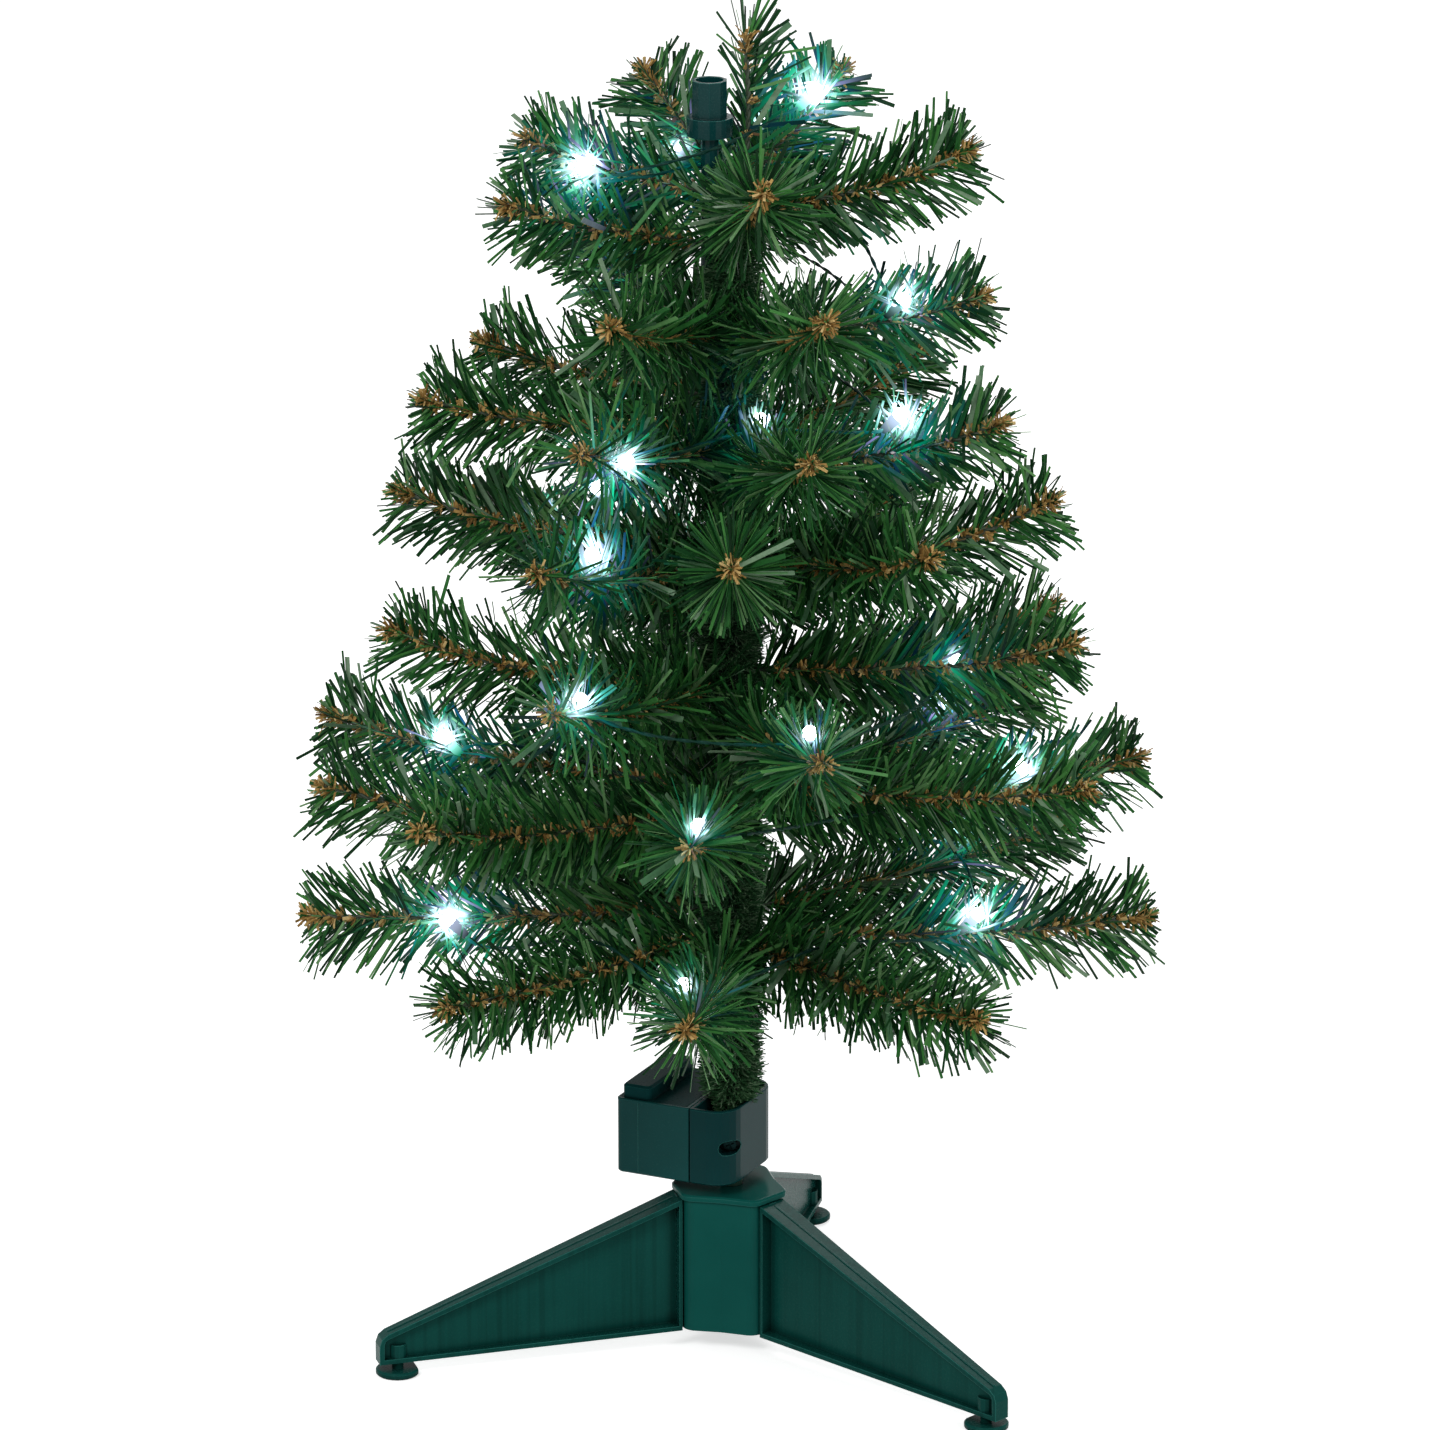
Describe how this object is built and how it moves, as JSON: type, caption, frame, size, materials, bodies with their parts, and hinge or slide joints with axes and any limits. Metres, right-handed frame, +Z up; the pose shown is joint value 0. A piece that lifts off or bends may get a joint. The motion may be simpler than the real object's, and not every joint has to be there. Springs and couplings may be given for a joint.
{
  "type": "tabletop christmas tree",
  "caption": "Small artificial Christmas tree with cool-white lamps, on a three-legged moulded stand, with a battery box clamped to its pole.",
  "frame": {"origin": "on the floor, at the axis of the pole", "axes": "+Z up along the pole; -Y is the front, which the picture shows; +X is the viewer's right"},
  "size_m": [0.3848, 0.3387, 0.6095],
  "materials": {
    "stand_plastic": "satin",
    "box_plastic": "satin",
    "pole_steel": "painted",
    "screw_steel": "plated",
    "board": "lacquered",
    "black_plastic": "satin",
    "cell_case": "printed sleeve",
    "wire_sleeve": "satin",
    "lamp_resin": "clear, lit cool white",
    "needles": "satin film"
  },
  "bodies": {
    "hub": {"stand_hub": "stand_plastic"},
    "leg_right": {"leg_right": "stand_plastic", "foot_right": "stand_plastic"},
    "leg_rear": {"leg_rear": "stand_plastic", "foot_rear": "stand_plastic"},
    "leg_left": {"leg_left": "stand_plastic", "foot_left": "stand_plastic"},
    "tree": {"pole": "pole_steel", "battery_housing": "box_plastic", "bottom_cover": "box_plastic", "cover_screw_1": "screw_steel", "cover_screw_2": "screw_steel", "pole_clamp": "box_plastic", "clamp_screw": "screw_steel", "circuit_board": "board", "switch_body": "screw_steel", "cell_1": "cell_case", "cell_2": "cell_case", "cell_3": "cell_case", "contact_front": "screw_steel", "contact_rear": "screw_steel", "topper_socket": "box_plastic", "light_string": "wire_sleeve", "lamp_01": "lamp_resin", "lamp_02": "lamp_resin", "lamp_03": "lamp_resin", "lamp_04": "lamp_resin", "lamp_05": "lamp_resin", "lamp_06": "lamp_resin", "lamp_07": "lamp_resin", "lamp_08": "lamp_resin", "lamp_09": "lamp_resin", "lamp_10": "lamp_resin", "lamp_11": "lamp_resin", "lamp_12": "lamp_resin", "lamp_13": "lamp_resin", "lamp_14": "lamp_resin", "lamp_15": "lamp_resin", "lamp_16": "lamp_resin", "lamp_17": "lamp_resin", "lamp_18": "lamp_resin", "lamp_19": "lamp_resin", "lamp_20": "lamp_resin", "lamp_21": "lamp_resin", "lamp_22": "lamp_resin", "lamp_23": "lamp_resin", "lamp_24": "lamp_resin", "lamp_25": "lamp_resin", "lamp_26": "lamp_resin", "foliage_tier_1": "needles", "foliage_tier_2": "needles", "foliage_tier_3": "needles", "foliage_tier_4": "needles"},
    "cover": {"battery_cover": "box_plastic"},
    "switch": {"switch_knob": "black_plastic"}
  },
  "joints": [
    {"name": "leg_right_slide", "type": "slide", "parent": "hub", "child": "leg_right", "axis": [0, 0, -1], "range_m": [0, 0.062]},
    {"name": "leg_rear_slide", "type": "slide", "parent": "hub", "child": "leg_rear", "axis": [0, 0, -1], "range_m": [0, 0.062]},
    {"name": "leg_left_slide", "type": "slide", "parent": "hub", "child": "leg_left", "axis": [0, 0, -1], "range_m": [0, 0.062]},
    {"name": "tree_lift", "type": "slide", "parent": "hub", "child": "tree", "axis": [0, 0, 1], "range_m": [0, 0.058]},
    {"name": "battery_cover_slide", "type": "slide", "parent": "tree", "child": "cover", "axis": [-0.9063, 0.4226, 0], "range_m": [0, 0.034]},
    {"name": "switch_slide", "type": "slide", "parent": "tree", "child": "switch", "axis": [0.4226, 0.9063, 0], "range_m": [0, 0.004]}
  ]
}
